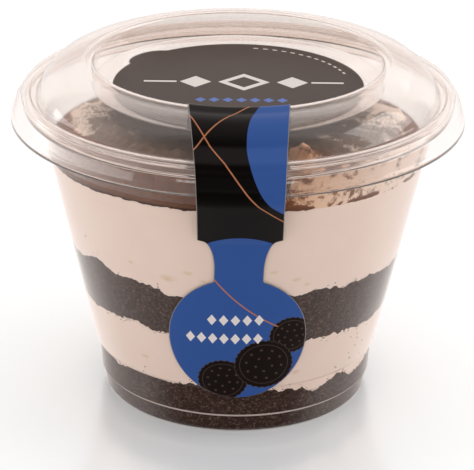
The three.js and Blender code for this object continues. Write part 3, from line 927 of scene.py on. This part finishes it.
# Printed film: flat fields of ink on a thin plastic film, with a soft satin face.
print_film, tree = new_material("printed film")
flat_map = add_node(tree, "UVMap", uv_map="print")
spot = add_node(tree, "Mapping",
                {"Vector": flat_map, "Location": (*PRINT_START, 0), "Scale": (PRINT_SPAN, PRINT_SPAN, 1)})
uv = add_node(tree, "SeparateXYZ", {0: spot})
BLACK = linear("#0B0706")
DISC_BLACK = linear("#33231B")  # warmer than the strip's
BLUE = linear("#315292")
PALE_BLUE = linear("#4D6BB0")
COPPER = linear("#AC6D4B")
PALE = linear("#DDD4CF")
BISCUIT = linear("#1B1311")
BISCUIT_LIGHT = linear("#4B3B35")
CUT_EDGE = linear("#8C8480")
FAR_OFF = 500  # past every end of the print


def cut(field, axis, low, high):
    """A field kept only between two places, across the seal (axis 0) or along it (1)."""
    span = add_node(tree, "Math",
                    {0: uv.outputs[axis], 1: (low + high) / 2, 2: (high - low) / 2}, operation="COMPARE")
    return add_node(tree, "Math", {0: field, 1: span}, operation="MULTIPLY")


def round_field(centre, radius, inner=0.0):
    """A disc, or a ring from an inner radius on."""
    far = add_node(tree, "VectorMath", {0: spot, 1: (*centre, 0)}, operation="DISTANCE")
    return add_node(tree, "Math",
                    {0: far.outputs["Value"], 1: (radius + inner) / 2, 2: (radius - inner) / 2},
                    operation="COMPARE")


def lozenges(start, end, v, half_u, half_v, pitch):
    """A row of lozenges whose middles lie one pitch apart, from start to end across the seal."""
    off = add_node(tree, "VectorMath", {0: spot, 1: (start, v, 0)}, operation="SUBTRACT")
    repeated = add_node(tree, "VectorMath",
                        {0: off, 1: (pitch / 2, FAR_OFF, 1), 2: (-pitch / 2, -FAR_OFF, -1)},
                        operation="WRAP")
    size = add_node(tree, "VectorMath", {0: repeated}, operation="ABSOLUTE")
    reach = add_node(tree, "VectorMath", {0: size, 1: (1 / half_u, 1 / half_v, 0)}, operation="DOT_PRODUCT")
    inside = add_node(tree, "Math", {0: reach.outputs["Value"], 1: 1.0}, operation="LESS_THAN")
    return cut(inside, 0, start - pitch / 2, end + pitch / 2)


def wave_round(centre, count):
    """The bearing from a point, and a wave from -1 to 1 that runs a number of times round it."""
    off = add_node(tree, "VectorMath", {0: spot, 1: (*centre, 0)}, operation="SUBTRACT")
    parts = add_node(tree, "SeparateXYZ", {0: off})
    bearing = add_node(tree, "Math", {0: parts.outputs[1], 1: parts.outputs[0]}, operation="ARCTAN2")
    turned = add_node(tree, "Math", {0: bearing, 1: count}, operation="MULTIPLY")
    wave = add_node(tree, "Math", {0: turned}, operation="SINE")
    return bearing, wave


def dotted(ring, wave, least):
    """A ring broken into dots where a wave is high."""
    dot = add_node(tree, "Math", {0: wave, 1: least}, operation="GREATER_THAN")
    return add_node(tree, "Math", {0: ring, 1: dot}, operation="MULTIPLY")


def circle_through(a, b, c):
    """The centre and radius of the circle through three points."""
    d = 2 * (a[0] * (b[1] - c[1]) + b[0] * (c[1] - a[1]) + c[0] * (a[1] - b[1]))
    sa, sb, sc = (p[0] ** 2 + p[1] ** 2 for p in (a, b, c))
    x = (sa * (b[1] - c[1]) + sb * (c[1] - a[1]) + sc * (a[1] - b[1])) / d
    y = (sa * (c[0] - b[0]) + sb * (a[0] - c[0]) + sc * (b[0] - a[0])) / d
    return (x, y), math.dist((x, y), a)


DISC_PRINT = (-32, 25.9)  # from where to where along the seal the disc's black runs
inks = [(cut(1.0, 1, *DISC_PRINT), DISC_BLACK)]

# A blue circle is cut by the strip's right edge, and blue fills the seal below an arc on the neck.
NECK_ARC = (0.75, 84.4)
SIDE_CIRCLE = circle_through((3.6, 38.1), (1.9, 49.0), (9.7, 65.3))
inks.append((cut(round_field(*SIDE_CIRCLE), 1, 32, 72), BLUE))
inks.append((round_field(NECK_ARC, 10.3), BLUE))
inks.append((cut(1.0, 1, NECK_ARC[1], 130), BLUE))

# Three round biscuits with fluted rims and small holes lie on the blue.
BISCUITS = [
    # centre, radius, flutes
    ((-2.6, 112.6), 5.2, 26), ((12.0, 101.2), 4.6, 24), ((6.2, 108.4), 6.2, 30)]
FLUTE = 0.1
OUTLINE = 0.14
GROOVE = 0.84  # share of the radius
HOLES = [(0.62, 10), (0.3, 5)]  # share of the radius, number
for centre, radius, flutes in BISCUITS:
    far = add_node(tree, "VectorMath", {0: spot, 1: (*centre, 0)}, operation="DISTANCE")
    for reach, ink in ((radius + OUTLINE, BISCUIT_LIGHT), (radius, BISCUIT)):
        fluted = add_node(tree, "Math",
                          {0: wave_round(centre, flutes)[1], 1: FLUTE, 2: reach}, operation="MULTIPLY_ADD")
        inside = add_node(tree, "Math", {0: far.outputs["Value"], 1: fluted}, operation="LESS_THAN")
        inks.append((inside, ink))
    groove = round_field(centre, radius * GROOVE + 0.07, radius * GROOVE - 0.07)
    inks.append((groove, BISCUIT_LIGHT))
    for share, holes in HOLES:
        ring = round_field(centre, radius * share + 0.24, radius * share - 0.24)
        inks.append((dotted(ring, wave_round(centre, holes)[1], 0.72), BISCUIT_LIGHT))

# Thin copper lines swing across the strip and the round end.
COPPER_HALF_WIDTH = 0.15
COPPER_LINES = [
    # three points on each, and where it starts and ends along the seal
    ((-9.7, 41.0), (0.3, 56.7), (9.6, 68.1), 30, 73),
    ((-9.0, 49.4), (-5.0, 43.7), (0.7, 37.6), 30, 52),
    ((-4.7, 85.7), (2.4, 93.6), (15.3, 101.7), 84, 98.5)]
for a, b, c, start, end in COPPER_LINES:
    centre, radius = circle_through(a, b, c)
    ring = round_field(centre, radius + COPPER_HALF_WIDTH, radius - COPPER_HALF_WIDTH)
    inks.append((cut(ring, 1, start, end), COPPER))

# Two rows of white lozenges stand on the round end.
inks.append((lozenges(-5.0, 5.0, 96.5, 1.0, 1.4, 2.5), PALE))
inks.append((lozenges(-9.6, 4.8, 101.4, 1.0, 1.4, 2.4), PALE))

# The disc has an open lozenge between two full ones and two rules, with a dotted arc behind them
# and a row of blue lozenges in front.
MIDDLE_LOZENGE = (1.2, 0.8)
SIDE_LOZENGES = (-9.3, 11.7)
RULES = ((-20.5, -13.4), (15.8, 22.8))
DOTTED_ARC = (0, 2.2)
for half_u, half_v, ink in ((5.6, 5.4, PALE), (3.6, 3.4, DISC_BLACK)):
    u, v = MIDDLE_LOZENGE
    inks.append((lozenges(u, u, v, half_u, half_v, 14), ink))
for u in SIDE_LOZENGES:
    inks.append((lozenges(u, u, MIDDLE_LOZENGE[1], 3.4, 3.6, 8), PALE))
for start, end in RULES:
    inks.append((cut(cut(1.0, 0, start, end), 1, 0.35, 1.25), PALE))
bearing, wave = wave_round(DOTTED_ARC, 70)
arc_part = add_node(tree, "Math", {0: bearing, 1: -0.875, 2: 0.575}, operation="COMPARE")
dots = dotted(round_field(DOTTED_ARC, 24.7, 24.2), wave, 0)
arc_of_dots = add_node(tree, "Math", {0: arc_part, 1: dots}, operation="MULTIPLY")
inks.append((arc_of_dots, PALE))
inks.append((lozenges(-8.0, 9.4, 12.2, 1.2, 1.4, 2.9), PALE_BLUE))

# The cut edge of the film is pale.
to_edge = add_node(tree, "Attribute", attribute_name="to_edge")
bare_rim = add_node(tree, "Math", {0: to_edge.outputs["Fac"], 1: 0.13}, operation="LESS_THAN")
inks.append((bare_rim, CUT_EDGE))

printed = BLACK
for field, ink in inks:
    printed = add_node(tree, "Mix", {"Factor": field, "A": printed, "B": ink},
                       data_type="RGBA").outputs["Result"]
film_face = add_node(tree, "BsdfPrincipled",
                     {"Base Color": printed, "Roughness": 0.32, "Specular IOR Level": 0.12})
add_node(tree, "OutputMaterial", {"Surface": film_face})

# strip, neck and round end
COLUMN_PLACES = [-1, -0.97, *(i / 10 for i in range(-9, 10)), 0.97, 1]
LAST_COLUMN = len(COLUMN_PLACES) - 1
STRIP_ROWS = 220
bm = bmesh.new()
bmesh.ops.create_grid(bm, x_segments=LAST_COLUMN, y_segments=STRIP_ROWS, size=1)
print_map = bm.loops.layers.uv.new("print")
edge_layer = bm.verts.layers.float.new("to_edge")
start, end = STRIP_WAY[0][0], ROUND_CENTRE + ROUND_HALF_HEIGHT
flat = {}
for vert in bm.verts:
    column = COLUMN_PLACES[round((vert.co.x + 1) / 2 * LAST_COLUMN)]
    share = (vert.co.y + 1) / 2
    # rows lie closer together towards the end, where the outline turns fast
    v = start + (end - start) * (1 - (1 - share) ** 1.25)
    half = strip_half_width(v)
    u = column * half + strip_drift(v)
    radius, height = along(STRIP_WAY, v)
    turn = u / radius
    flat[vert.index] = (u, v)
    vert[edge_layer] = (1 - abs(column)) * half
    vert.co = (radius * math.sin(turn), -radius * math.cos(turn), height)
for face in bm.faces:
    for loop in face.loops:
        loop[print_map].uv = print_place(*flat[loop.vert.index])
seal_strip = new_piece("seal_strip", bm, print_film)
add_thickness(seal_strip, FILM)


def disc_reach(turn):
    """The disc's outline, with an oval lifting tab at the back left."""
    off = turn - TAB_TURN
    middle = DISC_RADIUS + TAB_REACH - TAB_DEPTH
    a = (math.cos(off) / TAB_DEPTH) ** 2 + (math.sin(off) / TAB_HALF_WIDTH) ** 2
    b = middle * math.cos(off) / TAB_DEPTH ** 2
    c = (middle / TAB_DEPTH) ** 2 - 1
    root = b * b - a * c
    return max(DISC_RADIUS, (b + math.sqrt(root)) / a) if root > 0 and b > 0 else DISC_RADIUS


# disc and tab
DISC_COLUMNS = 240
DISC_SHARES = [0, 0.5, 0.9, 0.98, 1]
LAST_RING = len(DISC_SHARES) - 1
bm = bmesh.new()
bmesh.ops.create_grid(bm, x_segments=DISC_COLUMNS, y_segments=LAST_RING, size=1)
print_map = bm.loops.layers.uv.new("print")
edge_layer = bm.verts.layers.float.new("to_edge")
for vert in bm.verts:
    turn = vert.co.x * math.pi
    share = DISC_SHARES[round((vert.co.y + 1) / 2 * LAST_RING)]
    reach = disc_reach(turn)
    vert[edge_layer] = reach * (1 - share)
    vert.co = (DISC_CENTRE[0] + share * reach * math.cos(turn),
               DISC_CENTRE[1] + share * reach * math.sin(turn), DISC_HEIGHT)
bmesh.ops.remove_doubles(bm, verts=bm.verts, dist=TOUCHING)
bmesh.ops.recalc_face_normals(bm, faces=bm.faces)
for face in bm.faces:
    for loop in face.loops:
        loop[print_map].uv = print_place(loop.vert.co.x, -loop.vert.co.y)
seal_disc = new_piece("seal_disc", bm, print_film)
add_thickness(seal_disc, FILM)
for piece in (seal_strip, seal_disc):
    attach(piece, "root")
    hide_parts("seal_label")
